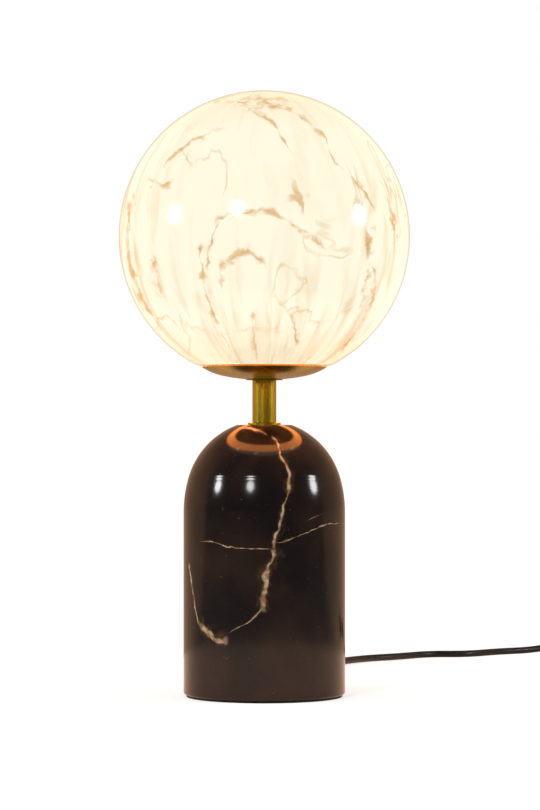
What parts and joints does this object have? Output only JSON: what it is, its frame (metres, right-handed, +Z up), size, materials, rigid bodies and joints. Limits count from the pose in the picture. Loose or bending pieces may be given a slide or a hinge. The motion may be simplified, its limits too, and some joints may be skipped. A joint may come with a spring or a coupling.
{
  "type": "table lamp",
  "caption": "Table lamp with a marbled opal glass globe on a brass dish and stem over a tall domed stone base, with a switched lead.",
  "frame": {"origin": "centre of the lamp's underside, on the surface it stands on", "axes": "+Z up along the lamp's axis, +Y to the back, where the lead leaves, +X to the right seen from the front"},
  "size_m": [0.5924, 0.5199, 0.4162],
  "materials": {
    "stone": "polished",
    "felt": "matt felt",
    "brass": "brushed and lacquered",
    "plated_steel": "zinc plated",
    "rubber": "matt",
    "clear_rubber": "milky",
    "opal_glass": "marbled opal, gloss",
    "black_plastic": "fine moulded",
    "ceramic": "unglazed",
    "nickel_brass": "nickel plated",
    "bulb_black": "gloss",
    "bulb_white": "satin",
    "bulb_opal": "frosted",
    "lead_sheath": "satin",
    "wire_sheath": "satin"
  },
  "bodies": {
    "lamp": {"base_pad": "felt", "base_stone": "stone", "clip_1": "plated_steel", "clip_2": "plated_steel", "clip_3": "plated_steel", "clip_plate": "plated_steel", "clip_rivets": "plated_steel", "cord_relief": "rubber", "cord_stop": "black_plastic", "dish": "brass", "dish_nut": "plated_steel", "dish_washer": "plated_steel", "foot_flange": "brass", "globe_gasket": "clear_rubber", "holder_cap": "black_plastic", "holder_contact": "nickel_brass", "holder_grub_screw": "plated_steel", "holder_insert": "ceramic", "holder_shell": "black_plastic", "holder_sleeve": "nickel_brass", "lead_coil": "lead_sheath", "lead_free": "lead_sheath", "lead_inside": "lead_sheath", "lead_wires": "wire_sheath", "plug_body": "black_plastic", "plug_pins": "nickel_brass", "rod_nut": "plated_steel", "rod_washer": "plated_steel", "stem_bush": "plated_steel", "stem_tube": "brass", "switch_base": "black_plastic", "switch_cover": "black_plastic", "switch_screws": "plated_steel", "terminal_screws": "plated_steel", "threaded_rod": "plated_steel"},
    "globe": {"globe": "opal_glass"},
    "bulb": {"bulb_cap": "nickel_brass", "bulb_contact": "nickel_brass", "bulb_insulator": "bulb_black", "bulb_housing": "bulb_white", "bulb_led_board": "bulb_white", "bulb_dome": "bulb_opal"},
    "rocker": {"switch_rocker": "black_plastic"}
  },
  "joints": [
    {"name": "globe_lift", "type": "slide", "parent": "lamp", "child": "globe", "axis": [0, 0, 1], "range_m": [0, 0.14]},
    {"name": "bulb_unscrew", "type": "slide", "parent": "lamp", "child": "bulb", "axis": [0, 0, 1], "range_m": [0, 0.03]},
    {"name": "rocker_tilt", "type": "hinge", "parent": "lamp", "child": "rocker", "pos_m": [0.295, 0.402, 0.011], "axis": [0, 1, 0], "range_deg": [-16, 0]}
  ]
}
